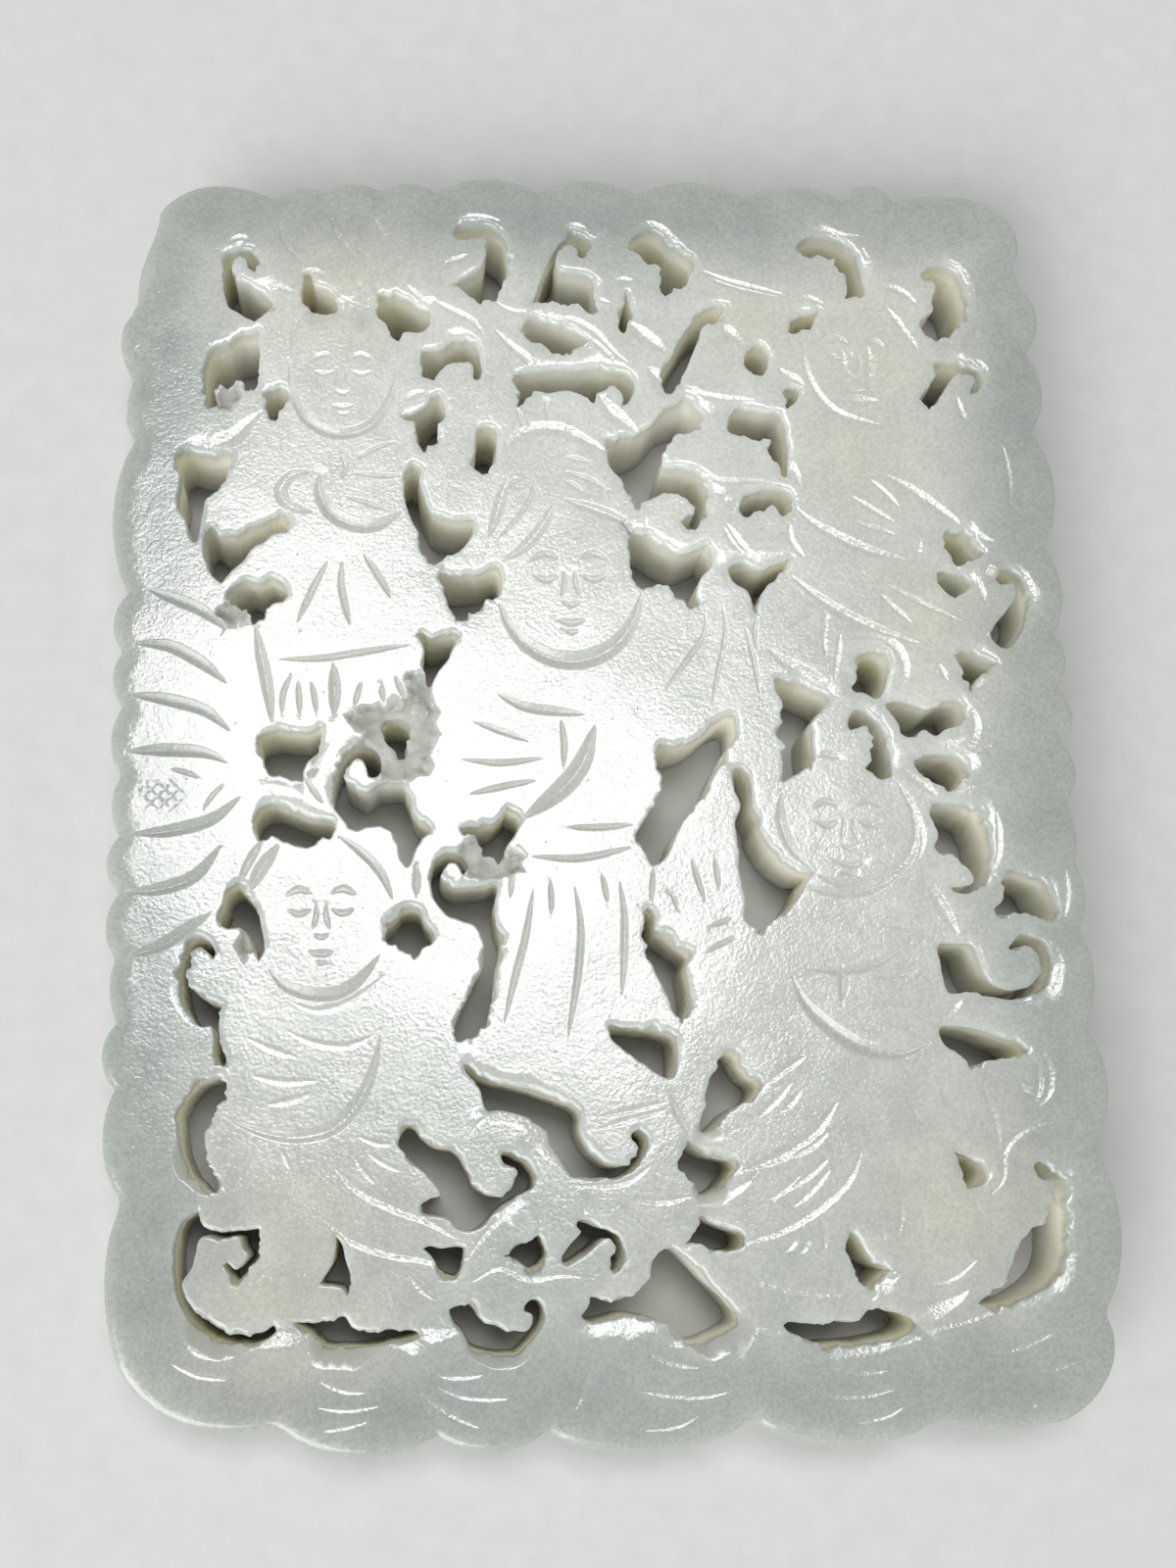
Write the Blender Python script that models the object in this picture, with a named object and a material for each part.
"""Openwork jade plaque: five boys at play inside a scalloped border, one solid.

The plaque lies on its flat back, carved side up (+Z), with the heads of the
boys towards +Y.  All sizes below are millimetres.  Places on the carved side
are measured from the lower left corner of the plaque; the finished solid is
moved so that the origin is the centre of its footprint.
"""
import bpy
import numpy as np
from mathutils.geometry import delaunay_2d_cdt

MM = 0.001

# Driving sizes
THICKNESS = 6.5
RIM_WIDTH = 0.45
RIM_DROP = 0.3
LOOP_TOLERANCE = 0.045
GROOVE_TOLERANCE = 0.06
MERGE_DISTANCE = 0.02
CURVE_STEPS = 14
ARC_STEPS = 24

# A third value of SHARP marks a corner; the curve runs smoothly through the other points.
SHARP = 1

# The scalloped border, clockwise from the lower left corner.  Each entry is the
# start of one lobe and how far that lobe swells outwards from its chord.
BORDER = [
    (0.92, 5.33, 0.70), (0.92, 13.60, 0.75), (0.58, 19.30, 0.72), (0.62, 22.75, 0.30),
    (0.45, 26.17, 0.58), (0.62, 29.70, 0.65), (0.60, 32.83, 0.43), (0.62, 36.17, 0.57),
    (0.67, 40.00, 0.50), (0.58, 43.08, 0.60), (0.85, 46.42, 1.00), (1.08, 55.42, 0.48),
    (0.80, 59.65, 0.62), (0.95, 63.20, 0.42), (2.20, 69.05, 0.62), (6.00, 71.07, 0.12),
    (9.00, 70.32, 0.32), (11.83, 70.85, 0.40), (15.08, 70.90, 0.50), (18.33, 70.78, 0.92),
    (24.25, 70.85, 0.85), (30.08, 70.80, 0.93), (36.40, 70.72, 0.87), (42.42, 70.55, 1.08),
    (45.42, 70.53, 0.26), (50.00, 70.85, 0.45), (52.75, 68.70, 0.25), (52.42, 66.42, 0.05),
    (52.60, 65.25, 0.95), (52.75, 60.97, 0.85), (52.72, 56.00, 1.05), (52.92, 48.95, 0.76),
    (53.17, 43.83, 0.58), (53.00, 40.50, 0.80), (53.03, 37.30, 0.72), (53.00, 34.00, 0.28),
    (53.30, 30.33, 0.44), (53.22, 26.80, 0.70), (53.08, 21.33, 1.04), (53.03, 14.83, 1.17),
    (52.97, 6.08, 0.52), (52.55, 2.45, 0.24), (50.20, 0.68, 0.38), (43.42, 0.87, 1.20),
    (33.58, 1.28, 1.22), (22.75, 1.10, 0.82), (17.17, 1.17, 1.18), (9.00, 1.92, 0.28),
    (4.30, 2.33, 0.45),
]

# The sawn openings, each by the corners and bends of its edge on the carved side.
OPENINGS = {
    "hook in the upper left corner": [
        (5.92, 65.1), (6.0, 66.2), (6.35, 66.85), (7.0, 67.1), (7.7, 66.9), (7.95, 66.3),
        (7.75, 65.8), (7.4, 65.95), (7.3, 66.45), (6.95, 66.65), (6.6, 66.4), (6.5, 65.7),
        (6.7, 65.15, SHARP), (7.4, 65.0), (8.1, 64.5), (8.8, 63.8), (8.5, 63.2),
        (7.75, 62.62, SHARP), (7.0, 63.1), (6.4, 63.45), (6.1, 64.1)],
    "above the first head, left": [
        (10.5, 65.6, SHARP), (10.9, 65.6), (11.2, 64.9), (12.0, 64.4), (12.45, 63.8),
        (12.2, 63.4), (11.5, 63.2, SHARP), (10.6, 63.75), (10.4, 64.1), (10.5, 64.9)],
    "above the first head, right": [
        (14.75, 64.4, SHARP), (15.6, 64.3), (16.5, 64.1), (17.1, 63.6), (17.8, 63.1),
        (17.6, 62.4), (16.9, 62.05), (16.2, 62.05), (15.95, 61.5, SHARP), (15.6, 61.7),
        (15.3, 62.4), (14.85, 62.9)],
    "left of the first head": [
        (5.0, 60.1), (5.4, 60.95), (6.2, 61.2), (6.7, 61.7), (7.95, 62.0, SHARP),
        (8.0, 60.6), (7.95, 58.75), (7.65, 58.42), (7.3, 58.6), (7.1, 59.0), (6.4, 58.9),
        (5.8, 58.6), (5.5, 58.2), (5.45, 57.4, SHARP), (5.22, 57.4, SHARP), (5.05, 58.2),
        (5.0, 59.2)],
    "under the first ear": [
        (8.25, 58.3, SHARP), (9.1, 58.6), (9.8, 57.9), (9.1, 57.2), (8.9, 56.75, SHARP),
        (8.6, 56.85), (8.45, 57.6)],
    "first cloud hook": [
        (19.25, 68.0, SHARP), (19.35, 68.5), (20.2, 68.75), (21.3, 68.7), (22.0, 68.2),
        (22.3, 67.2), (22.3, 66.0), (22.0, 65.1), (21.5, 64.15, SHARP), (21.0, 64.1),
        (20.7, 63.75, SHARP), (20.2, 64.2), (19.2, 65.05, SHARP), (20.1, 65.6),
        (20.75, 66.2), (21.05, 67.0), (21.15, 67.8), (20.7, 68.0), (20.0, 67.85)],
    "second cloud hook": [
        (23.67, 63.92, SHARP), (24.1, 65.0), (24.6, 66.2), (25.1, 67.2), (25.6, 67.95),
        (26.2, 68.35), (26.9, 68.1), (27.15, 67.5), (26.8, 66.75), (26.45, 66.85),
        (26.4, 67.3), (26.0, 67.6), (25.5, 67.4), (25.15, 66.7), (25.4, 65.95),
        (26.3, 65.85), (27.2, 65.55), (27.25, 64.6), (27.5, 63.7), (27.2, 63.3, SHARP),
        (26.4, 63.8), (25.3, 64.0)],
    "slot beside the second cloud hook": [
        (28.95, 62.2, SHARP), (28.7, 62.6), (28.85, 63.3), (29.0, 63.9),
        (29.2, 64.6, SHARP), (29.45, 63.9), (29.6, 63.3), (29.35, 62.8)],
    "third cloud hook": [
        (29.42, 67.33, SHARP), (29.7, 68.05), (30.6, 68.55), (31.2, 68.4), (31.8, 67.7),
        (32.4, 67.2), (33.1, 66.8), (33.2, 66.1), (32.7, 65.5), (31.9, 64.7),
        (31.5, 64.35, SHARP), (31.2, 64.8), (31.3, 65.8), (31.1, 66.35), (30.5, 66.5),
        (30.0, 67.05)],
    "slit along the banner": [
        (31.63, 58.33, SHARP), (31.2, 59.2), (31.3, 59.9), (31.9, 60.9), (32.4, 61.9),
        (33.0, 62.85), (33.6, 63.5), (34.4, 63.9), (35.0, 63.8, SHARP),
        (34.3, 62.65, SHARP), (33.85, 62.7), (33.5, 62.0), (33.0, 60.8), (32.1, 59.0)],
    "right of the first head": [
        (17.3, 60.85), (18.1, 61.0), (19.0, 61.4), (19.9, 61.7), (20.4, 61.1),
        (20.7, 60.3), (20.7, 59.5), (20.4, 59.15), (20.2, 59.35), (20.25, 59.9),
        (20.0, 60.2), (19.3, 60.1), (18.5, 59.95), (18.25, 59.4), (17.95, 59.05, SHARP),
        (17.5, 59.2), (17.3, 59.6), (17.25, 60.2)],
    "lens above the cap": [
        (23.0, 62.15, SHARP), (23.3, 62.75), (24.1, 62.9), (25.2, 62.6), (26.3, 62.1),
        (26.9, 61.6, SHARP), (26.2, 61.1), (25.35, 60.8), (24.5, 61.1), (23.7, 61.6)],
    "long gap above the cap": [
        (22.7, 59.6), (24.0, 59.7), (26.0, 59.8), (28.0, 59.85), (29.1, 59.6),
        (29.5, 59.0), (29.4, 58.3), (29.0, 57.7), (28.7, 57.6, SHARP), (28.8, 58.2),
        (28.3, 58.75), (27.8, 58.8), (27.4, 58.4), (27.05, 57.9, SHARP), (26.5, 58.1),
        (25.6, 58.5), (24.5, 58.35), (23.5, 58.35), (23.1, 57.8), (22.75, 57.55),
        (22.7, 58.0), (22.85, 58.5), (22.55, 59.0)],
    "fourth cloud hook": [
        (39.42, 67.2, SHARP), (39.6, 67.9), (40.3, 68.3), (41.3, 68.3), (42.2, 68.0),
        (42.9, 67.3), (43.1, 66.3), (43.3, 65.2), (43.1, 64.5), (42.2, 64.35, SHARP),
        (42.35, 65.1), (42.3, 65.9), (41.9, 66.5), (41.4, 67.05), (40.6, 67.05)],
    "notch left of the second head": [
        (38.65, 62.2, SHARP), (38.9, 62.8), (39.5, 63.3), (40.5, 63.6, SHARP),
        (40.25, 63.0), (40.0, 62.3), (39.4, 62.35), (38.95, 62.12)],
    "tip of the banner": [
        (35.95, 60.5), (36.2, 61.1), (36.9, 61.3), (37.4, 60.8), (37.3, 60.0),
        (37.05, 59.5), (36.75, 59.48), (36.4, 59.8)],
    "comma in the upper right corner": [
        (46.7, 65.9, SHARP), (47.2, 66.25), (47.9, 66.5), (48.7, 66.2), (49.2, 65.5),
        (49.4, 64.5), (49.4, 63.5), (48.9, 62.6), (48.1, 62.0), (47.5, 61.75),
        (47.1, 61.9), (46.53, 62.85, SHARP), (47.1, 63.4), (47.5, 64.3), (47.7, 65.1),
        (47.5, 65.5), (47.0, 65.5)],
    "curl right of the second head": [
        (46.13, 58.0, SHARP), (46.5, 58.5), (47.0, 59.1), (47.3, 59.6), (47.2, 60.2),
        (47.9, 60.4), (49.0, 60.2), (49.9, 59.8), (50.0, 59.1), (49.6, 58.5),
        (49.25, 58.35, SHARP), (49.3, 58.7), (49.6, 59.2), (49.3, 59.7), (48.6, 59.65),
        (48.1, 59.2), (47.6, 58.5), (47.2, 57.9), (46.75, 57.45, SHARP)],
    "above the first sleeve": [
        (3.5, 54.4), (3.85, 54.85, SHARP), (4.9, 54.65), (6.25, 54.5, SHARP), (6.15, 53.6),
        (5.85, 52.4), (5.2, 52.0), (4.95, 51.3), (4.8, 50.4), (4.6, 49.45), (4.4, 49.45),
        (4.15, 49.9), (4.0, 50.8), (3.65, 51.2), (3.5, 52.0), (3.65, 53.2)],
    "under the first sleeve": [
        (5.35, 50.35), (5.8, 49.9), (6.6, 49.85), (7.6, 50.25), (8.5, 50.75), (9.2, 51.0),
        (9.5, 50.7), (9.3, 50.1), (8.4, 49.45), (7.6, 48.95), (7.2, 48.3), (6.6, 47.8),
        (6.0, 47.05, SHARP), (5.6, 47.3), (5.2, 48.1), (5.0, 49.2), (5.05, 50.1)],
    "left of the first skirt": [
        (6.2, 46.3), (6.8, 47.0), (7.4, 47.2), (8.1, 47.1), (8.7, 47.45), (9.2, 47.1),
        (9.55, 46.8), (9.4, 46.3), (8.8, 45.9), (8.4, 45.2), (8.0, 44.75, SHARP),
        (7.7, 44.8), (7.45, 45.4), (7.2, 45.8), (6.6, 45.95)],
    "between the first head and the leaf": [
        (16.1, 56.9, SHARP), (16.9, 56.35), (17.05, 55.8), (16.98, 55.2), (17.3, 54.72),
        (17.6, 55.05), (18.1, 55.2), (18.1, 56.3), (18.5, 56.9), (18.5, 57.7),
        (18.1, 58.2), (17.7, 57.8), (17.1, 57.3)],
    "crescent right of the first boy": [
        (16.25, 53.6), (16.6, 54.0), (17.05, 53.7), (17.0, 53.0), (17.3, 52.2),
        (17.5, 51.5), (18.0, 50.95), (19.0, 50.75), (20.0, 50.8, SHARP), (20.1, 50.2),
        (19.7, 49.4), (18.8, 48.7), (18.3, 48.35), (17.7, 48.05), (17.3, 48.6),
        (17.0, 49.3), (16.9, 49.9), (16.5, 50.8), (16.2, 51.8), (16.15, 52.8)],
    "between the leaf and the cap": [
        (19.87, 53.95, SHARP), (20.15, 54.5), (20.25, 55.4), (20.4, 56.1), (20.9, 56.35),
        (21.4, 56.0), (21.4, 55.2), (21.2, 54.4), (21.1, 53.7), (21.0, 53.35, SHARP),
        (20.6, 53.55), (20.2, 53.65)],
    "left of the large face": [
        (18.15, 47.65, SHARP), (18.8, 47.5), (19.5, 47.5), (20.4, 47.6), (21.3, 48.0),
        (21.55, 47.5), (21.5, 46.6), (21.2, 46.05), (20.6, 46.0), (20.0, 45.5),
        (19.3, 45.0), (18.95, 44.75, SHARP), (18.65, 45.2), (18.5, 46.0), (18.3, 46.8)],
    "between the first skirt and the large robe": [
        (16.7, 43.95, SHARP), (17.0, 44.1), (17.5, 43.8), (18.2, 44.0), (18.8, 44.1),
        (19.0, 43.7), (18.75, 43.1), (18.4, 42.5), (18.0, 42.1), (17.75, 41.5),
        (17.5, 40.98), (17.3, 41.1), (17.2, 41.8), (17.0, 42.2), (17.15, 43.0),
        (17.0, 43.6)],
    "big curl right of the cap": [
        (28.0, 55.4), (29.2, 55.75), (30.2, 56.3), (30.8, 57.0), (31.3, 57.5),
        (32.2, 57.8), (33.0, 57.6), (33.3, 57.0), (33.2, 56.1, SHARP), (32.4, 56.0),
        (31.8, 55.8), (31.3, 55.2), (30.95, 54.4), (30.9, 53.9, SHARP), (31.5, 53.87),
        (32.3, 53.7), (33.05, 53.2), (33.35, 52.3), (33.3, 51.4), (33.05, 50.7),
        (32.6, 50.35), (32.0, 50.3), (31.8, 50.55), (32.3, 50.85), (32.75, 51.25),
        (32.6, 51.7), (32.2, 52.1), (31.6, 52.3), (30.8, 52.25), (30.2, 52.0),
        (29.4, 51.3, SHARP), (28.65, 52.7), (28.5, 53.2), (28.0, 53.7), (27.8, 54.3)],
    "gap under the big curl": [
        (28.45, 50.55, SHARP), (29.0, 50.0), (29.6, 49.95), (30.1, 49.6), (30.8, 49.1),
        (31.7, 48.7), (32.6, 48.9), (33.3, 49.3, SHARP), (33.6, 48.6), (33.5, 47.9),
        (32.9, 47.3), (32.55, 46.6), (32.7, 45.8), (32.5, 45.4), (32.0, 45.5),
        (31.6, 46.1), (31.1, 46.6), (30.5, 46.75), (29.8, 46.7), (29.5, 46.6),
        (29.1, 47.1), (28.85, 48.0), (28.9, 49.0), (28.8, 49.8)],
    "under the vase": [
        (34.5, 47.8), (35.2, 48.2), (36.0, 47.75), (36.9, 47.95), (38.05, 48.45, SHARP),
        (37.7, 47.8), (37.0, 47.1), (36.35, 46.3), (35.9, 45.17, SHARP), (35.7, 46.0),
        (35.3, 46.6), (34.7, 47.1)],
    "side of the vase": [
        (35.4, 51.9), (35.9, 52.3), (36.8, 52.5), (37.8, 52.5), (38.3, 52.0),
        (38.3, 51.35), (37.8, 51.2), (37.2, 51.5), (36.7, 51.3), (36.0, 51.1),
        (35.55, 50.95), (35.35, 51.3)],
    "between the banner and the vase": [
        (34.9, 56.1), (34.95, 56.9), (35.3, 57.4), (36.2, 57.4), (37.1, 57.2),
        (37.7, 57.2), (38.05, 56.7), (38.15, 55.6), (38.2, 54.5), (38.1, 53.4),
        (37.9, 53.35), (37.85, 53.9), (37.4, 54.2), (37.1, 54.9), (37.3, 55.5),
        (36.6, 55.6), (35.8, 55.65), (35.2, 55.8)],
    "notch under the second chin": [
        (38.1, 58.35), (38.5, 58.75), (39.05, 58.6), (39.0, 58.0), (38.6, 57.65),
        (38.35, 57.4, SHARP), (38.25, 57.55), (38.35, 57.95)],
    "right of the second robe, upper": [
        (47.1, 50.0, SHARP), (47.9, 49.95), (48.5, 49.7), (48.8, 49.1), (49.3, 48.65),
        (48.9, 48.3), (48.2, 48.0), (47.7, 47.85), (47.45, 48.3), (47.1, 49.0)],
    "right of the second robe, middle": [
        (46.5, 47.0), (46.75, 47.5), (47.4, 47.45), (48.1, 47.25), (48.35, 46.7),
        (48.0, 46.2), (47.5, 45.95), (47.0, 46.3)],
    "fifth cloud hook": [
        (49.95, 47.1), (50.3, 47.55), (50.9, 47.6), (51.4, 47.1), (51.75, 46.2),
        (51.8, 45.2), (51.3, 44.2), (50.8, 43.3), (50.3, 42.93), (49.9, 43.1),
        (49.37, 43.88, SHARP), (49.9, 44.6), (50.5, 45.3), (51.0, 46.0), (51.1, 46.6),
        (50.7, 46.85), (50.2, 46.75)],
    "right of the second robe, lower": [
        (47.35, 42.5, SHARP), (48.3, 42.6), (49.6, 42.05, SHARP), (49.0, 41.55),
        (48.4, 41.1), (48.1, 40.5), (47.95, 40.4), (47.85, 41.0), (47.7, 41.8)],
    "hem of the second robe": [
        (41.15, 40.7), (41.45, 41.1), (41.5, 41.8), (41.9, 42.5), (42.5, 42.95),
        (43.1, 42.6), (43.4, 41.7), (43.1, 40.8), (42.7, 40.1), (42.3, 40.1),
        (41.8, 40.45), (41.4, 40.45)],
    "boat under the second robe": [
        (43.05, 39.7), (43.8, 39.9), (44.9, 39.7), (45.7, 39.45), (46.5, 39.9),
        (47.3, 39.9), (47.6, 39.2), (47.3, 38.5), (46.5, 38.25), (45.8, 37.95),
        (45.2, 38.2), (44.7, 38.1), (44.1, 38.0), (43.8, 38.35), (43.45, 39.0)],
    "between the large sleeve and the second robe": [
        (37.0, 41.2), (38.0, 41.05), (39.0, 40.65), (39.85, 40.2), (39.7, 39.7),
        (38.9, 38.9), (38.7, 38.0), (38.8, 37.0), (38.6, 36.1), (37.9, 35.95),
        (37.3, 35.5), (36.9, 35.4), (37.1, 36.4), (37.15, 37.4), (37.0, 38.2),
        (37.15, 39.3), (37.05, 40.3)],
    "under the first skirt": [
        (8.05, 38.3), (8.8, 38.65), (9.8, 38.6), (10.8, 38.5), (11.4, 38.8), (11.4, 38.0),
        (11.1, 37.1), (10.75, 36.9), (10.6, 36.4), (10.35, 35.85, SHARP), (9.6, 36.0),
        (8.7, 36.1), (8.4, 36.5), (8.2, 37.4)],
    "drill hole right of the first hem": [
        (14.7, 38.8), (15.0, 39.2), (15.6, 39.3), (16.2, 38.95), (16.3, 38.3),
        (16.0, 37.85), (15.85, 37.1), (15.6, 37.0), (15.45, 37.5), (15.1, 37.8),
        (14.85, 38.2)],
    "scroll under the first skirt": [
        (12.05, 34.4), (12.0, 35.0), (12.2, 36.1), (12.6, 37.0), (13.1, 37.6),
        (13.8, 37.8), (14.5, 37.4), (14.7, 36.6), (14.5, 35.95), (14.1, 35.9),
        (13.9, 36.3), (13.8, 36.75), (13.4, 37.0), (13.05, 36.75), (12.75, 36.1),
        (12.8, 35.7), (13.3, 35.35), (13.9, 35.1), (14.5, 35.5), (15.2, 35.65),
        (15.85, 35.6), (16.1, 35.15), (16.4, 34.3), (16.7, 33.6), (17.35, 33.2),
        (17.35, 32.75), (16.9, 32.45), (16.55, 31.9), (16.3, 31.2), (16.0, 30.85),
        (15.75, 31.6), (15.3, 32.5), (15.0, 33.0), (14.4, 33.15), (13.6, 33.05),
        (13.2, 33.0), (12.6, 33.6)],
    "above the third head": [
        (7.7, 33.55), (7.95, 34.1), (8.5, 34.55), (9.3, 34.35), (10.3, 34.0),
        (11.3, 33.55), (12.0, 33.5), (12.2, 33.1), (12.0, 32.75), (11.5, 32.6),
        (11.0, 32.2), (10.2, 32.1), (9.6, 32.3), (9.0, 32.65), (8.5, 32.7), (8.1, 32.55),
        (7.85, 33.1)],
    "left of the third head": [
        (5.9, 28.3), (6.15, 29.0), (6.35, 29.8), (6.8, 30.1), (7.3, 29.6), (7.9, 28.9),
        (8.15, 27.9), (8.35, 26.9), (8.3, 26.3), (8.05, 25.9, SHARP), (7.8, 26.6),
        (7.5, 27.3), (7.1, 27.75), (6.5, 27.7), (6.1, 27.9)],
    "curl left of the third boy": [
        (5.67, 26.08, SHARP), (5.8, 26.4), (5.5, 27.0), (4.85, 27.2), (4.2, 26.6),
        (3.92, 25.7), (3.92, 24.7), (4.25, 23.5), (4.8, 22.65), (5.25, 22.5),
        (5.6, 22.55), (5.68, 22.0), (5.85, 21.3), (6.05, 20.5), (6.2, 20.55),
        (6.2, 21.2), (6.0, 22.2), (5.97, 23.0), (6.1, 23.6), (5.7, 23.8), (4.9, 24.25),
        (4.45, 24.8), (4.33, 25.7), (4.5, 26.45), (4.85, 26.75), (5.25, 26.6)],
    "right of the third head": [
        (14.9, 26.7), (14.85, 27.6), (15.4, 28.1), (15.75, 28.6), (16.65, 28.6),
        (16.95, 27.9), (17.4, 27.3), (17.35, 26.8), (16.9, 26.5), (16.35, 25.92, SHARP),
        (16.0, 26.3), (15.6, 26.6), (15.2, 26.6)],
    "curl and crescent left of the large skirt": [
        (19.1, 30.4, SHARP), (19.3, 30.9), (18.9, 31.5), (18.3, 31.7), (17.7, 31.4),
        (17.4, 30.8), (17.3, 30.0), (17.5, 29.2), (18.0, 28.45), (18.6, 28.0),
        (19.6, 27.6), (20.0, 26.8), (20.1, 26.0), (19.9, 25.2), (19.4, 24.2),
        (18.9, 23.3), (18.5, 22.3), (18.4, 21.6), (18.7, 21.3), (19.2, 21.5),
        (19.8, 22.0), (20.2, 22.4), (20.5, 23.6), (20.8, 25.0), (21.05, 26.5),
        (20.9, 27.8), (20.75, 28.8), (20.95, 29.5), (20.9, 30.05), (20.3, 29.85),
        (19.3, 29.75), (18.4, 29.8), (17.9, 30.2), (18.0, 30.8), (18.35, 31.1),
        (18.8, 30.9)],
    "waist of the large robe": [
        (18.95, 33.0), (19.5, 33.15), (20.2, 33.05), (20.9, 33.35), (21.6, 34.1, SHARP),
        (22.3, 33.5), (22.0, 32.8), (21.6, 32.1), (21.0, 31.0, SHARP), (20.7, 31.35),
        (20.2, 31.6), (20.0, 32.2), (19.7, 32.6), (19.2, 32.65)],
    "long slit of the large sleeve": [
        (28.65, 32.4), (29.1, 33.2), (29.6, 34.0), (30.1, 34.9), (30.2, 35.6),
        (29.95, 36.2), (29.85, 37.0), (30.1, 37.5), (31.0, 37.5), (32.0, 37.8),
        (33.0, 38.5), (33.8, 39.1), (34.35, 39.2), (34.5, 38.5), (34.3, 37.7),
        (33.7, 37.0), (33.3, 36.3), (32.9, 35.2), (32.0, 34.0), (31.2, 33.1),
        (30.7, 32.1), (30.2, 31.2), (29.5, 30.75), (29.2, 31.2), (28.95, 31.8)],
    "right of the large skirt": [
        (28.85, 28.2), (29.15, 28.4), (29.45, 28.0), (29.6, 27.1), (30.2, 26.6),
        (30.9, 26.15), (31.3, 25.7), (31.1, 25.0), (31.25, 23.8), (31.1, 22.7),
        (30.75, 22.0, SHARP), (30.4, 22.6), (30.1, 23.4), (29.7, 24.2), (29.3, 25.1),
        (29.0, 26.1), (28.8, 27.2)],
    "hem of the large skirt": [
        (26.75, 21.95), (27.4, 22.0), (28.3, 21.9), (29.4, 21.7), (30.2, 21.5),
        (30.45, 21.0), (30.35, 20.2), (30.25, 19.3), (30.0, 19.12), (29.3, 19.55),
        (28.4, 20.1), (27.6, 20.7), (27.0, 21.2)],
    "left of the fourth head": [
        (34.15, 36.0), (34.2, 35.0), (34.5, 34.1), (34.2, 33.2), (34.2, 32.4),
        (34.3, 31.4), (34.25, 30.6), (34.4, 29.6), (34.6, 28.5), (34.8, 27.5),
        (35.3, 26.95), (35.9, 27.5), (36.7, 27.95), (37.4, 28.7), (38.3, 30.2, SHARP),
        (37.6, 30.3), (36.9, 30.8), (36.3, 31.4), (35.8, 32.3), (35.5, 32.8),
        (35.55, 33.3), (35.25, 33.9), (35.2, 34.8), (35.05, 35.7), (34.6, 36.2)],
    "comma above the fourth head": [
        (40.85, 38.3), (40.9, 38.9), (41.2, 39.35), (41.7, 39.45), (42.2, 39.1),
        (42.6, 38.5), (42.9, 37.8), (43.1, 36.9), (43.15, 36.0), (43.0, 35.5),
        (42.5, 35.35), (42.2, 35.6), (41.65, 36.05, SHARP), (41.95, 36.5), (42.1, 37.2),
        (42.1, 38.1), (41.85, 38.5), (41.35, 38.4)],
    "right of the fourth head, upper": [
        (44.5, 36.4), (45.2, 36.75), (46.2, 36.85), (47.1, 36.6), (47.5, 35.9),
        (47.1, 35.2), (46.6, 34.75), (46.3, 34.65), (46.0, 34.95), (45.6, 35.2),
        (45.1, 35.35), (44.8, 35.9)],
    "right of the fourth head, lower": [
        (45.3, 33.8), (46.1, 34.0), (47.1, 33.85), (47.9, 33.4), (48.35, 32.5),
        (48.5, 31.3), (48.4, 30.2), (48.0, 29.4), (47.4, 29.0), (46.7, 28.9),
        (46.2, 29.15, SHARP), (46.9, 29.25), (47.4, 29.55), (47.2, 30.2), (46.7, 30.8),
        (46.1, 31.2), (45.5, 31.3), (45.3, 31.6), (45.5, 32.2), (45.25, 33.0)],
    "notch in the right border": [
        (48.5, 27.9), (48.9, 28.3), (49.1, 28.9), (49.1, 29.7), (49.4, 30.05),
        (50.4, 29.85), (51.3, 29.5), (51.7, 28.7), (52.0, 27.8), (51.8, 27.25),
        (51.1, 27.35), (50.3, 27.65), (49.6, 27.7), (49.1, 27.85), (48.7, 27.62)],
    "spiral right of the fourth boy": [
        (45.1, 26.0), (46.0, 26.05), (47.0, 26.0), (47.3, 25.3), (47.6, 24.4),
        (48.1, 23.75), (48.8, 23.5), (49.6, 23.5), (50.3, 23.75), (50.8, 24.3),
        (50.85, 25.0), (50.5, 25.7), (49.9, 25.95), (49.4, 25.6), (49.15, 25.75),
        (49.4, 26.2), (50.0, 26.45), (50.8, 26.2), (51.35, 25.5), (51.4, 24.6),
        (51.0, 23.8), (50.4, 23.25), (49.5, 23.0), (48.4, 23.05), (47.4, 23.2),
        (46.5, 23.5), (45.55, 23.4), (45.3, 24.2), (45.15, 25.2)],
    "wedge right of the fourth boy": [
        (44.85, 21.3), (45.0, 21.55), (46.0, 21.55), (47.0, 21.4), (48.0, 21.05),
        (48.9, 20.6), (49.5, 20.25), (49.6, 19.95), (49.0, 19.8), (48.2, 19.7),
        (47.4, 19.55), (46.5, 19.3, SHARP), (46.2, 19.75), (45.7, 20.2), (45.1, 20.6),
        (44.9, 20.95)],
    "left of the third robe": [
        (4.0, 18.3), (4.3, 18.9), (4.8, 19.4), (5.4, 19.75), (6.1, 19.8), (6.4, 19.3),
        (6.3, 18.8), (5.9, 18.6), (5.7, 18.0), (5.6, 17.4), (5.3, 16.95), (5.4, 16.0),
        (5.55, 15.1), (5.9, 14.1), (5.7, 13.85), (5.2, 14.15), (4.6, 14.8), (4.15, 15.7),
        (3.9, 16.8), (3.85, 17.7)],
    "ring in the lower left corner": [
        (4.75, 12.8), (5.0, 12.95), (5.1, 12.35), (5.6, 11.95), (6.5, 11.87),
        (7.3, 11.95), (8.05, 12.0), (8.2, 11.7), (8.1, 10.9), (7.85, 10.3), (7.35, 9.7),
        (6.9, 9.35), (6.55, 9.7), (6.3, 10.1), (6.5, 10.3), (6.9, 9.9), (7.3, 10.2),
        (7.6, 10.65), (7.25, 11.0), (7.15, 11.55), (6.8, 11.6), (6.2, 11.45),
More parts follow.
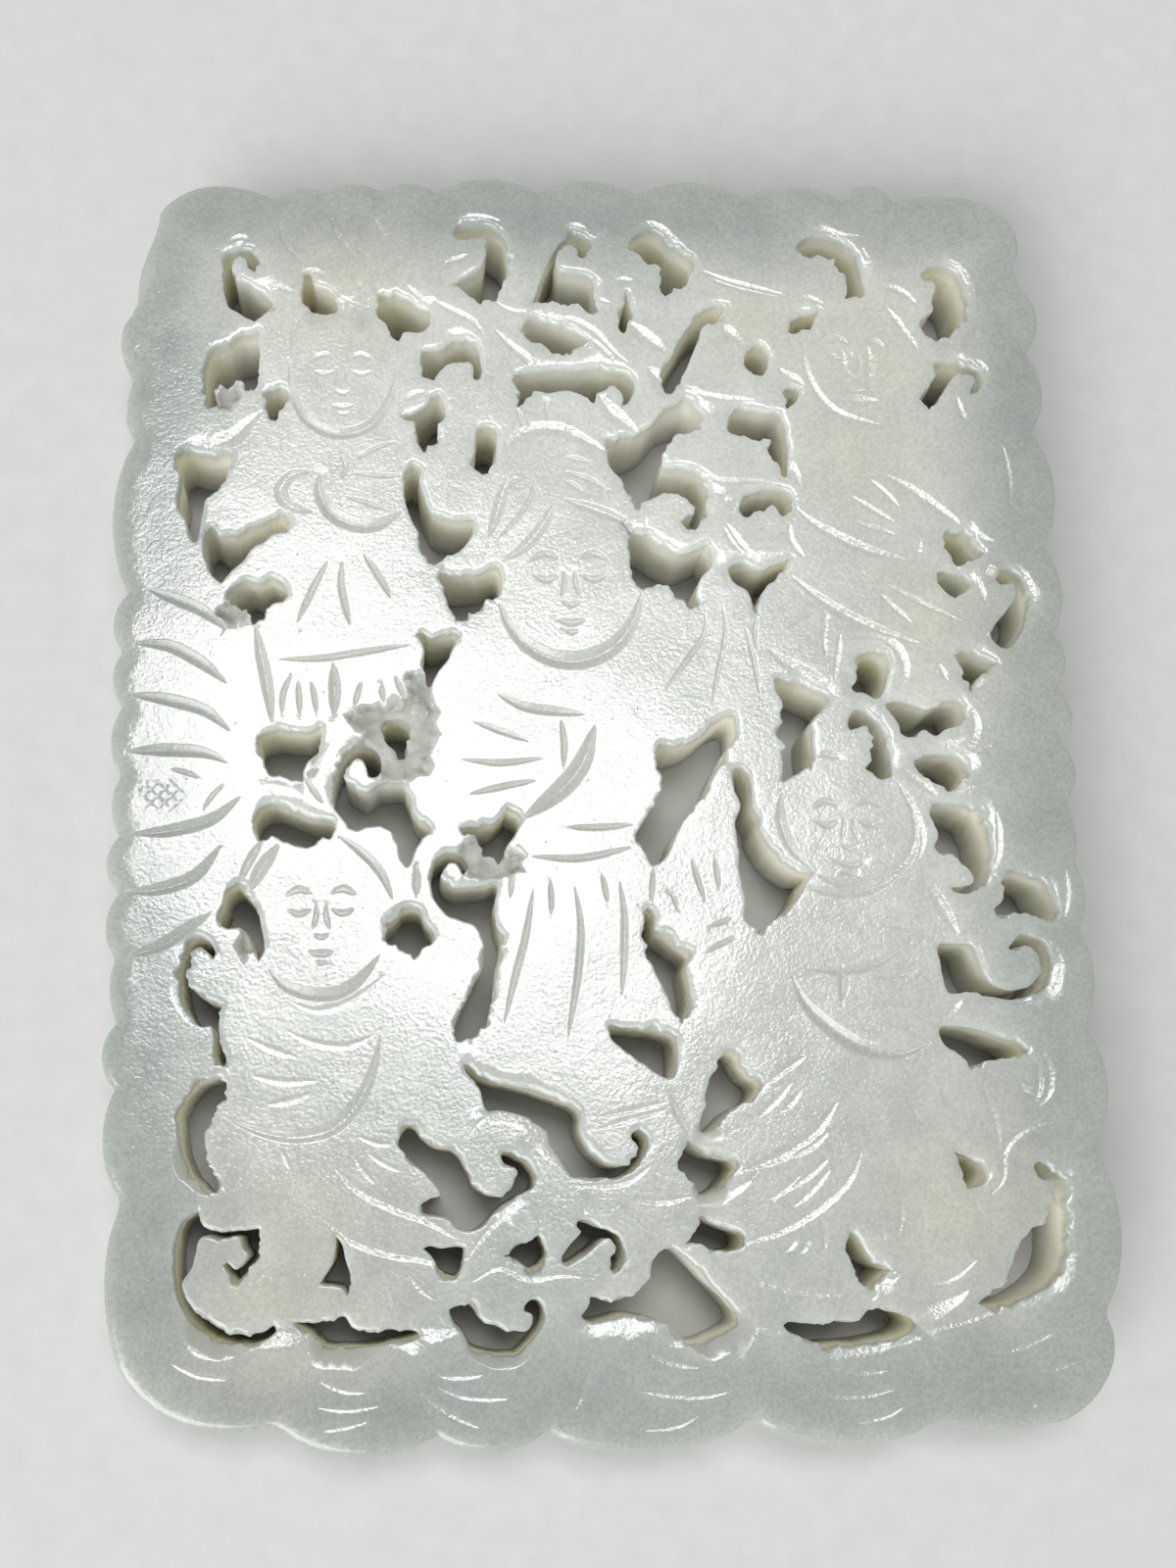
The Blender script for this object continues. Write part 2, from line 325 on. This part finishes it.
        (5.7, 11.6), (5.1, 11.6), (4.95, 11.1), (4.75, 10.3), (4.5, 9.8), (4.2, 9.4),
        (4.35, 8.65), (5.0, 7.7), (5.8, 6.95), (6.7, 6.52), (7.7, 6.55), (8.4, 6.7),
        (8.85, 7.0), (9.0, 6.75), (8.6, 6.45), (7.8, 6.17), (6.8, 6.1), (6.0, 6.4),
        (5.0, 7.0), (4.3, 7.85), (3.92, 8.85), (3.75, 10.2), (3.83, 11.5), (4.17, 12.4)],
    "slot under the third boy": [
        (9.85, 7.1), (10.6, 7.12), (11.3, 7.1), (12.0, 7.15), (12.45, 7.35), (12.8, 6.9),
        (13.4, 6.6), (14.4, 6.5), (15.3, 6.5), (16.2, 6.45), (16.35, 6.2), (15.8, 6.05),
        (14.9, 5.95), (14.0, 5.85), (13.0, 5.75), (12.0, 5.75), (11.3, 6.0), (10.8, 6.5),
        (10.2, 6.8)],
    "triangle in the third hem": [
        (12.1, 11.35), (12.4, 11.0), (12.5, 10.3), (12.8, 9.6), (12.85, 9.0),
        (12.65, 8.38, SHARP), (12.3, 8.85), (11.25, 9.03, SHARP), (11.55, 9.55),
        (12.0, 10.2), (12.1, 10.8)],
    "scroll cluster, left": [
        (15.4, 16.2), (15.6, 16.8), (16.0, 17.1), (16.5, 16.6), (17.1, 16.0),
        (18.0, 15.75), (18.4, 15.6), (18.8, 15.0), (19.2, 14.2), (19.45, 13.65),
        (20.0, 13.35), (20.85, 13.2), (21.2, 13.7), (21.65, 14.3), (21.45, 14.7),
        (21.0, 14.95), (20.75, 15.3), (21.0, 15.5), (21.6, 15.3), (22.2, 14.8),
        (22.55, 14.2), (22.45, 13.65), (22.0, 13.35), (21.0, 12.9), (20.2, 12.2),
        (19.6, 11.6), (19.0, 11.45), (18.5, 11.6), (18.0, 12.1), (17.3, 12.3),
        (16.7, 12.4), (16.55, 12.85), (17.0, 13.2), (17.6, 13.35), (17.4, 13.75),
        (16.7, 14.5), (15.9, 15.3)],
    "scroll cluster, below": [
        (16.65, 10.65), (16.95, 10.75), (17.5, 10.55), (18.1, 10.68), (18.85, 10.6),
        (18.75, 10.1), (18.6, 9.4), (18.35, 9.15), (17.8, 9.35), (17.3, 9.8),
        (17.0, 10.3)],
    "under the large foot": [
        (19.0, 20.05, SHARP), (19.7, 19.6), (20.8, 19.1), (22.3, 18.8), (23.6, 18.3),
        (24.8, 17.75), (25.1, 17.3), (25.0, 16.8), (25.1, 16.2), (25.5, 15.5),
        (26.0, 15.0), (26.5, 14.6), (27.1, 14.5), (27.7, 14.8), (28.1, 15.2),
        (28.1, 15.6), (27.8, 15.9), (27.8, 16.3), (28.3, 16.45), (28.65, 16.1),
        (28.6, 15.3), (28.2, 14.7), (27.5, 14.1), (26.5, 13.95), (25.3, 14.0),
        (24.6, 14.1), (24.2, 14.5), (23.8, 15.2), (23.3, 16.2), (22.7, 17.0),
        (21.8, 17.45), (20.8, 17.7), (20.1, 17.7), (19.95, 18.2), (19.6, 19.0)],
    "scroll cluster, middle": [
        (20.92, 10.15), (21.4, 10.4), (22.2, 10.8), (22.7, 11.2, SHARP), (22.85, 10.8),
        (23.1, 10.3), (22.95, 9.8), (22.5, 9.5), (22.0, 9.5), (21.7, 9.85), (21.2, 10.0)],
    "scroll cluster, right": [
        (23.85, 9.85), (24.1, 10.35), (24.65, 10.9), (24.95, 11.25), (24.75, 11.5),
        (24.85, 11.8), (25.3, 11.8), (25.8, 11.5), (26.3, 11.3), (26.8, 11.1),
        (27.15, 10.6), (27.15, 9.8), (26.9, 9.2), (26.5, 9.15), (26.35, 9.5),
        (26.65, 9.85), (26.75, 10.4), (26.5, 10.85), (26.1, 10.8), (25.6, 10.4),
        (25.0, 10.05), (24.5, 9.7), (24.1, 9.55)],
    "crescent under the scroll cluster": [
        (17.95, 7.5), (18.5, 7.63), (19.0, 7.65), (19.25, 7.3), (19.7, 6.83),
        (20.5, 6.45), (21.5, 6.25), (22.05, 6.35), (22.3, 6.8), (22.2, 7.2),
        (21.85, 7.3), (21.95, 7.7), (22.35, 7.85), (22.75, 7.55), (22.9, 7.0),
        (22.75, 6.5), (22.3, 5.95), (21.9, 5.45), (21.4, 5.05), (20.8, 5.0),
        (20.0, 5.15), (19.3, 5.4), (18.85, 5.8), (18.6, 6.35), (18.15, 6.75)],
    "bottom triangle": [
        (24.9, 6.95), (25.2, 7.35), (25.35, 7.9), (25.7, 7.8), (26.5, 7.6), (27.3, 7.8),
        (27.9, 8.2), (28.35, 8.5), (28.6, 9.0), (28.7, 9.65), (29.0, 10.1),
        (29.65, 10.25), (30.3, 9.9), (31.15, 9.0), (31.85, 8.2), (32.5, 7.5),
        (33.05, 6.8), (33.15, 6.25), (32.8, 5.95), (32.0, 5.65), (30.9, 5.3),
        (30.3, 5.45), (29.7, 6.1), (29.0, 6.5), (28.1, 6.75), (27.2, 6.85),
        (26.2, 6.65), (25.3, 6.6)],
    "between the scroll and the fourth robe": [
        (30.8, 15.8, SHARP), (30.55, 15.0), (30.35, 14.4), (30.6, 14.0), (31.0, 13.6),
        (31.25, 12.9, SHARP), (31.7, 13.0), (32.3, 13.2), (32.9, 13.7), (33.4, 14.3),
        (33.3, 14.65), (32.4, 14.85), (31.6, 15.25)],
    "left of the fourth hem": [
        (30.42, 10.4, SHARP), (30.7, 10.8), (31.0, 11.2), (31.2, 11.6),
        (31.35, 11.9, SHARP), (32.0, 11.5), (33.0, 11.05), (33.6, 10.7), (33.5, 10.15),
        (32.6, 10.0), (31.7, 10.2), (31.0, 10.45)],
    "triangle beside the large foot": [
        (33.25, 20.55), (32.75, 20.15), (32.5, 19.6), (32.1, 19.1), (31.95, 18.4),
        (31.85, 17.6), (31.5, 16.8), (31.5, 16.3), (31.9, 16.2), (32.4, 16.5),
        (33.1, 17.1), (33.6, 17.5), (34.3, 17.8), (34.85, 18.3), (34.8, 18.8),
        (34.3, 19.2), (33.9, 19.8), (33.6, 20.35)],
    "slot under the fourth boy": [
        (35.5, 6.1), (35.7, 6.25), (36.4, 6.1), (37.2, 6.0), (38.1, 6.15), (38.9, 6.05),
        (39.7, 6.2), (39.95, 6.65), (40.6, 6.85), (41.3, 6.6), (42.1, 6.3), (42.6, 5.9),
        (42.2, 5.45), (41.2, 5.2), (40.2, 5.0), (39.0, 4.95), (37.9, 4.95), (37.1, 5.15),
        (36.4, 5.5), (35.8, 5.8)],
    "split in the fourth hem": [
        (39.3, 10.8, SHARP), (39.1, 10.2), (39.25, 9.3), (39.5, 8.65), (39.75, 8.05),
        (40.2, 7.75), (40.8, 8.2), (41.35, 8.7, SHARP), (40.9, 8.95), (40.35, 9.35),
        (39.9, 10.15), (39.6, 10.6)],
    "notch right of the fourth robe": [
        (45.3, 14.8, SHARP), (45.5, 14.2), (45.58, 13.5), (45.75, 12.9), (46.0, 12.75),
        (46.4, 13.0), (46.8, 13.6), (46.5, 14.2), (46.0, 14.45)],
    "crescent in the lower right corner": [
        (49.65, 13.7), (49.6, 14.0), (49.95, 14.15), (50.5, 13.7), (50.95, 13.1),
        (51.1, 12.3), (51.2, 11.3), (51.1, 10.1), (51.0, 9.1), (50.6, 8.25),
        (50.0, 7.75), (49.3, 7.25), (48.5, 6.85), (47.6, 6.7), (46.7, 6.7), (46.0, 6.85),
        (46.6, 7.25), (47.3, 7.7), (47.8, 8.3), (48.2, 9.1), (48.55, 10.0), (49.1, 10.4),
        (49.8, 10.8), (50.3, 11.5), (50.6, 12.2), (50.7, 12.8), (50.4, 13.25),
        (49.95, 13.4)],
}

# The broad carved lines, each as width, depth and the path of its middle.
GROOVES = {
    "ribs of the fan": [
        (0.7, 0.35, [(1.9, 46.7), (3.5, 46.1), (5.0, 45.4), (6.3, 44.3)]),
        (0.7, 0.35, [(1.2, 43.6), (3.2, 43.4), (5.0, 42.4), (6.4, 41.2)]),
        (0.7, 0.35, [(1.0, 40.7), (3.0, 40.4), (5.2, 39.7), (6.6, 38.5)]),
        (0.7, 0.35, [(0.9, 37.4), (3.0, 37.5), (5.2, 37.4), (6.45, 36.75)]),
        (0.7, 0.35, [(1.2, 32.9), (3.5, 33.1), (5.6, 33.7), (7.2, 35.0)]),
        (0.7, 0.35, [(0.8, 29.8), (2.8, 29.9), (4.7, 30.6), (6.1, 32.3)]),
        (0.7, 0.35, [(1.2, 26.3), (3.0, 26.9), (4.4, 27.8), (5.6, 28.6)])],
    "first boy": [
        (0.7, 0.35, [(9.8, 60.2), (9.9, 58.4), (10.7, 56.7), (12.2, 55.8), (13.9, 56.1),
                     (15.1, 57.3), (15.7, 58.9), (15.8, 60.2)]),
        (0.9, 0.45, [(6.35, 54.9), (7.2, 55.9), (8.35, 56.6)]),
        (1.0, 0.40, [(11.5, 53.6), (11.4, 52.5), (12.0, 51.2), (13.2, 50.4), (14.6, 50.3),
                     (15.9, 51.0)]),
        (0.5, 0.30, [(10.9, 53.5), (9.8, 53.2), (9.3, 52.4), (9.6, 51.6), (11.2, 51.15)]),
        (0.5, 0.30, [(9.0, 42.6), (11.5, 42.65), (13.5, 42.9), (16.4, 43.4)]),
        (0.6, 0.40, [(7.85, 44.5), (8.15, 43.0), (8.5, 41.2), (8.8, 39.0)]),
        (0.6, 0.40, [(12.15, 42.2), (12.2, 40.8), (12.1, 39.4)])],
    "large boy": [
        (1.1, 0.45, [(21.5, 45.6), (22.2, 44.2), (23.3, 43.1), (24.7, 42.5), (26.2, 42.5),
                     (27.6, 43.1), (28.7, 44.3), (29.4, 46.0)]),
        (0.7, 0.35, [(24.8, 51.8), (23.9, 50.2), (22.8, 48.9), (21.8, 48.4)]),
        (0.5, 0.30, [(25.1, 51.9), (26.6, 51.4), (28.1, 50.8)]),
        (0.9, 0.40, [(21.9, 54.7), (22.8, 55.6), (24.2, 56.0), (25.8, 55.6), (27.4, 54.8)]),
        (0.8, 0.40, [(22.6, 33.7), (23.8, 34.6), (25.0, 35.5), (25.9, 36.7), (26.6, 38.8)]),
        (0.6, 0.30, [(21.1, 40.5), (22.6, 39.8), (24.4, 39.5), (26.1, 39.3)]),
        (0.4, 0.25, [(22.7, 31.35), (25.5, 31.2), (28.3, 31.75)]),
        (0.4, 0.25, [(22.9, 29.8), (22.5, 27.0), (21.9, 24.5), (21.4, 22.2)]),
        (0.4, 0.25, [(25.1, 29.8), (25.4, 27.5), (25.1, 24.5), (24.4, 21.3)]),
        (0.4, 0.25, [(27.6, 30.0), (27.8, 27.5), (27.7, 25.5), (27.5, 23.4)])],
    "second boy": [
        (0.6, 0.30, [(39.8, 61.5), (39.7, 59.8), (40.2, 58.3), (41.2, 57.2), (42.5, 56.7),
                     (43.8, 56.4)]),
        (0.6, 0.30, [(38.7, 51.0), (39.7, 50.3), (41.2, 49.4), (43.0, 48.6), (44.8, 48.2)]),
        (0.6, 0.30, [(38.2, 47.1), (39.5, 46.0), (41.5, 44.7), (43.5, 43.8), (45.3, 43.3)]),
        (0.8, 0.40, [(43.7, 53.4), (45.3, 52.4), (46.8, 51.3), (48.1, 50.4)]),
        (0.6, 0.30, [(44.5, 63.9), (45.3, 62.6), (46.4, 60.9)]),
        (0.8, 0.35, [(36.5, 43.2), (37.4, 42.3), (38.6, 41.6), (39.8, 41.0)]),
        (0.6, 0.40, [(47.5, 57.1), (48.4, 55.7)])],
    "third boy": [
        (0.8, 0.40, [(8.7, 25.5), (9.5, 24.6), (10.8, 24.1), (12.2, 24.1), (13.3, 24.7),
                     (14.4, 25.9)]),
        (0.6, 0.30, [(12.6, 32.4), (13.6, 31.8), (14.6, 30.6), (15.2, 29.2)]),
        (0.7, 0.35, [(8.9, 32.1), (8.2, 30.9), (7.6, 29.9)]),
        (0.6, 0.30, [(9.5, 22.2), (11.0, 21.5), (12.8, 21.3), (14.3, 22.0)]),
        (0.7, 0.35, [(6.6, 17.6), (8.2, 16.9), (10.4, 16.6), (12.3, 17.2), (13.6, 18.8),
                     (14.3, 21.0)]),
        (0.7, 0.35, [(12.0, 15.0), (13.4, 13.7), (15.2, 12.8), (16.2, 12.4)]),
        (0.7, 0.35, [(11.4, 12.3), (12.9, 11.2), (15.0, 10.4), (16.4, 10.1)])],
    "fourth boy": [
        (0.7, 0.35, [(36.8, 34.6), (36.8, 33.0), (37.3, 31.6), (38.5, 30.3), (40.5, 29.6),
                     (42.4, 29.8), (43.8, 30.7), (44.5, 32.2), (44.0, 34.0), (43.3, 35.1)]),
        (0.8, 0.40, [(36.9, 24.6), (37.6, 23.1), (38.9, 21.7), (40.6, 20.6), (42.6, 20.1),
                     (44.3, 20.7)]),
        (0.5, 0.30, [(37.9, 24.8), (40.0, 24.75), (41.8, 25.2), (43.3, 26.1)]),
        (0.7, 0.35, [(44.4, 29.9), (45.2, 28.4), (45.9, 27.0)]),
        (0.8, 0.40, [(34.2, 14.0), (36.0, 14.9), (37.9, 16.2), (39.2, 18.0)]),
        (0.8, 0.40, [(34.2, 10.5), (36.0, 11.2), (38.2, 12.6), (39.6, 13.9), (40.2, 15.0)]),
        (0.5, 0.30, [(42.4, 7.9), (44.2, 8.1), (46.1, 9.1)]),
        (0.6, 0.45, [(46.9, 18.6), (47.3, 17.6), (47.6, 16.6), (47.85, 15.3)])],
    "clouds and frame": [
        (0.5, 0.30, [(33.9, 65.9), (35.6, 65.4), (38.7, 64.6)]),
        (0.6, 0.35, [(22.0, 63.6), (23.4, 63.4), (25.2, 63.1), (26.9, 62.5), (28.2, 61.2)]),
        (0.5, 0.30, [(21.4, 62.2), (22.3, 61.1), (23.6, 60.3)]),
        (0.6, 0.45, [(50.2, 19.7), (50.35, 18.6), (50.1, 17.6), (49.4, 17.6)]),
        (0.6, 0.35, [(47.0, 12.5), (47.7, 13.2), (48.0, 14.7), (49.2, 15.8), (51.0, 16.2)]),
        (0.6, 0.35, [(43.2, 5.4), (45.0, 5.9), (47.0, 6.2), (49.0, 6.6), (50.6, 7.6)]),
        (0.6, 0.35, [(4.1, 7.4), (5.1, 6.3), (6.8, 5.7), (9.0, 5.8), (10.6, 5.9)]),
        (0.5, 0.30, [(19.2, 9.1), (20.3, 9.6), (21.4, 9.2), (22.4, 8.8), (24.0, 9.0)]),
        (0.5, 0.30, [(27.4, 12.9), (29.0, 12.7), (30.7, 12.9)]),
        (0.5, 0.30, [(26.2, 16.9), (28.0, 17.1), (29.6, 17.6)])],
}

JADE_COLOR = (0.62, 0.65, 0.58, 1.0)


def clear_scene():
    for obj in list(bpy.data.objects):
        bpy.data.objects.remove(obj, do_unlink=True)


def arc(start, end, swell):
    """Points of the arc from start to end that swells to the left of its chord."""
    start = np.array(start)
    end = np.array(end)
    chord = end - start
    half = np.hypot(*chord) / 2
    radius = (half ** 2 + swell ** 2) / (2 * swell)
    left = np.array([-chord[1], chord[0]]) / (2 * half)
    centre = (start + end) / 2 + left * (swell - radius)
    first = np.arctan2(*(start - centre)[::-1])
    turn = -2 * np.arcsin(half / radius)
    angles = first + turn * np.linspace(0, 1, ARC_STEPS, endpoint=False)
    return centre + radius * np.column_stack([np.cos(angles), np.sin(angles)])


def border_loop():
    loop = []
    for lobe, following in zip(BORDER, BORDER[1:] + BORDER[:1]):
        loop.append(thin(np.vstack([arc(lobe[:2], following[:2], lobe[2]),
                                    following[:2]]), LOOP_TOLERANCE)[:-1])
    return np.vstack(loop)


def spline(points):
    """A smooth open curve through the points (centripetal Catmull-Rom)."""
    points = np.array(points, float)
    ends = [2 * points[0] - points[1], 2 * points[-1] - points[-2]]
    padded = np.vstack([ends[0], points, ends[1]])
    curve = []
    for p0, p1, p2, p3 in zip(padded, padded[1:], padded[2:], padded[3:]):
        knots = np.cumsum([0, *(np.hypot(*step) ** 0.5 for step in (p1 - p0, p2 - p1, p3 - p2))])
        t = np.linspace(knots[1], knots[2], CURVE_STEPS, endpoint=False)[:, None]
        a = [blend(p, q, knots[i], knots[i + 1], t)
             for i, (p, q) in enumerate(((p0, p1), (p1, p2), (p2, p3)))]
        b = [blend(a[i], a[i + 1], knots[i], knots[i + 2], t) for i in range(2)]
        curve.append(blend(b[0], b[1], knots[1], knots[2], t))
    return np.vstack([*curve, points[-1]])


def blend(p, q, start, end, t):
    return p + (q - p) * (t - start) / (end - start)


def thin(points, tolerance):
    """Drop the points of an open path that lie within the tolerance of a chord."""
    if len(points) < 3:
        return points
    first, last = points[0], points[-1]
    chord = last - first
    length = np.hypot(*chord)
    offset = points - first
    if length < 1e-9:
        away = np.hypot(offset[:, 0], offset[:, 1])
    else:
        away = np.abs(chord[0] * offset[:, 1] - chord[1] * offset[:, 0]) / length
    furthest = int(np.argmax(away))
    if away[furthest] < tolerance:
        return np.array([first, last])
    return np.vstack([thin(points[:furthest + 1], tolerance)[:-1],
                      thin(points[furthest:], tolerance)])


def opening_loop(knots):
    """The closed edge of one opening, smooth between its marked corners."""
    corners = [i for i, knot in enumerate(knots) if len(knot) == 3]
    places = [knot[:2] for knot in knots]
    if not corners:
        wrapped = places[-3:] + places + places[:3]
        curve = spline(wrapped)[2 * CURVE_STEPS:-3 * CURVE_STEPS]
        middle = len(curve) // 2
        loop = [thin(curve[:middle + 1], LOOP_TOLERANCE)[:-1],
                thin(curve[middle:], LOOP_TOLERANCE)[:-1]]
        return np.vstack(loop)
    loop = []
    for start, end in zip(corners, corners[1:] + [corners[0] + len(places)]):
        run = [places[i % len(places)] for i in range(start, end + 1)]
        loop.append(thin(spline(run), LOOP_TOLERANCE)[:-1])
    return np.vstack(loop)


def inside(points, loops):
    """Even-odd test: within the border and outside every opening."""
    x, y = points[:, 0], points[:, 1]
    crossings = np.zeros(len(points), int)
    for loop in loops:
        for (x0, y0), (x1, y1) in zip(loop, np.roll(loop, -1, axis=0)):
            if y0 == y1:
                continue
            spans = (y0 > y) != (y1 > y)
            crossings += spans & (x < x0 + (y - y0) * (x1 - x0) / (y1 - y0))
    return crossings % 2 == 1


def distance_to_path(points, path):
    """Distance to a path, and how far along it the nearest place is (0 to 1)."""
    best = np.full(len(points), np.inf)
    along = np.zeros(len(points))
    steps = np.hypot(*np.diff(path, axis=0).T)
    travelled = np.concatenate([[0], np.cumsum(steps)])
    for i, (start, end) in enumerate(zip(path, path[1:])):
        chord = end - start
        t = np.clip((points - start) @ chord / (chord @ chord), 0, 1)
        away = np.hypot(*(points - start - t[:, None] * chord).T)
        nearer = away < best
        best[nearer] = away[nearer]
        along[nearer] = (travelled[i] + t[nearer] * steps[i]) / travelled[-1]
    return best, along


def swell_along(share):
    """Width of a carved line as a share of its full width: pointed at both ends."""
    return np.sqrt(np.clip(1 - np.abs(2 * share - 1) ** 3, 0, 1))


def groove_parts():
    """Width, depth and middle path of every groove."""
    parts = []
    for lines in GROOVES.values():
        for width, depth, path in lines:
            middle = thin(spline(path), GROOVE_TOLERANCE)
            parts.append((width, depth, middle))
    return parts


def edges_of_groove(width, middle):
    """The two edges of a groove beside the inner stations of its middle path."""
    steps = np.hypot(*np.diff(middle, axis=0).T)
    share = np.concatenate([[0], np.cumsum(steps)]) / steps.sum()
    direction = np.gradient(middle, axis=0)
    direction /= np.hypot(*direction.T)[:, None]
    side = np.column_stack([-direction[:, 1], direction[:, 0]])
    reach = (width / 2 * swell_along(share))[:, None] * side
    inner = slice(1, -1)
    return (middle + reach)[inner], (middle - reach)[inner]


def carved_drop(points, grooves, border):
    """How far the carved surface lies below the polished front at each point."""
    drop = np.zeros(len(points))
    for width, depth, middle in grooves:
        away, share = distance_to_path(points, middle)
        reach = width / 2 * swell_along(share)
        profile = np.clip(1 - away / np.maximum(reach, 1e-6), 0, 1)
        drop = np.maximum(drop, depth * swell_along(share) * profile)
    closed = np.vstack([border, border[:1]])
    from_edge = distance_to_path(points, closed)[0]
    rim = RIM_DROP * np.clip(1 - from_edge / RIM_WIDTH, 0, 1)
    return np.maximum(drop, rim)


def rim_inner_loop(border):
    """The inner edge of the rounded rim, a fixed distance inside the border."""
    before = np.roll(border, 1, axis=0)
    after = np.roll(border, -1, axis=0)
    direction = after - before
    direction /= np.hypot(*direction.T)[:, None]
    inward = np.column_stack([direction[:, 1], -direction[:, 0]])
    inner = border + RIM_WIDTH * inward
    clear = distance_to_path(inner, np.vstack([border, border[:1]]))[0] > 0.97 * RIM_WIDTH
    return inner[clear]


def triangulate(points, edges, loops):
    """Triangles of the area between the loops, with every edge kept."""
    result = delaunay_2d_cdt([tuple(p) for p in points], edges, [], 0, MERGE_DISTANCE)
    places = np.array([tuple(v) for v in result[0]])
    faces = np.array(result[2])
    middles = places[faces].mean(axis=1)
    kept = faces[inside(middles, loops)]
    return places, kept


def outer_edges(faces):
    """Directed edges that belong to one triangle only."""
    directed = [(a, b) for face in faces for a, b in zip(face, np.roll(face, -1))]
    known = set(directed)
    return [edge for edge in directed if (edge[1], edge[0]) not in known]


def counter_clockwise(places, faces):
    a, b, c = (places[faces[:, i]] for i in range(3))
    area = (b[:, 0] - a[:, 0]) * (c[:, 1] - a[:, 1]) - (c[:, 0] - a[:, 0]) * (b[:, 1] - a[:, 1])
    flipped = faces[:, ::-1]
    return np.where(area[:, None] > 0, faces, flipped)


def chain(points, closed, first):
    """Edges that join consecutive points numbered from first."""
    count = len(points)
    edges = [(first + i, first + i + 1) for i in range(count - 1)]
    if closed:
        edges.append((first + count - 1, first))
    return edges


def plaque_geometry():
    border = border_loop()
    loops = [border] + [opening_loop(knots) for knots in OPENINGS.values()]
    grooves = groove_parts()
    chains = [(loop, True) for loop in loops]
    chains.append((rim_inner_loop(border), True))
    for width, depth, middle in grooves:
        left, right = edges_of_groove(width, middle)
        chains.append((middle, False))
        chains.append((np.vstack([middle[:1], left, middle[-1:], right[::-1]]), True))
    points = []
    edges = []
    for path, closed in chains:
        edges += chain(path, closed, len(points))
        points += [tuple(p) for p in path]
    places, top = triangulate(points, edges, loops)
    top = counter_clockwise(places, top)

    # The back uses only the corners of the openings and of the border.
    walls = outer_edges(top)
    used = sorted({corner for edge in walls for corner in edge})
    back_number = {corner: i for i, corner in enumerate(used)}
    back_edges = [(back_number[a], back_number[b]) for a, b in walls]
    back_places, back = triangulate(places[used], back_edges, loops)
    back = counter_clockwise(back_places, back)

    front_used = sorted({corner for face in top for corner in face})
    front_number = {corner: i for i, corner in enumerate(front_used)}
    front_places = places[front_used]
    heights = THICKNESS - carved_drop(front_places, grooves, border)
    shift = len(front_used)
    corners = np.vstack([np.column_stack([front_places, heights]),
                         np.column_stack([back_places, np.zeros(len(back_places))])])
    faces = [[front_number[corner] for corner in face] for face in top]
    faces += [[shift + corner for corner in face[::-1]] for face in back]
    for a, b in walls:
        top_a, top_b = front_number[a], front_number[b]
        low_a, low_b = shift + back_number[a], shift + back_number[b]
        faces.append([top_b, top_a, low_a])
        faces.append([top_b, low_a, low_b])
    low, high = corners[:, :2].min(axis=0), corners[:, :2].max(axis=0)
    corners[:, :2] -= (low + high) / 2
    return corners * MM, faces


def jade_material():
    material = bpy.data.materials.new("jade")
    material.use_nodes = True
    shader = material.node_tree.nodes["Principled BSDF"]
    shader.inputs["Base Color"].default_value = JADE_COLOR
    shader.inputs["Roughness"].default_value = 0.3
    return material


def build():
    clear_scene()
    corners, faces = plaque_geometry()
    mesh = bpy.data.meshes.new("jade_plaque")
    mesh.from_pydata([tuple(c) for c in corners], [], faces)
    mesh.validate()
    mesh.materials.append(jade_material())
    plaque = bpy.data.objects.new("jade_plaque", mesh)
    bpy.context.scene.collection.objects.link(plaque)


build()
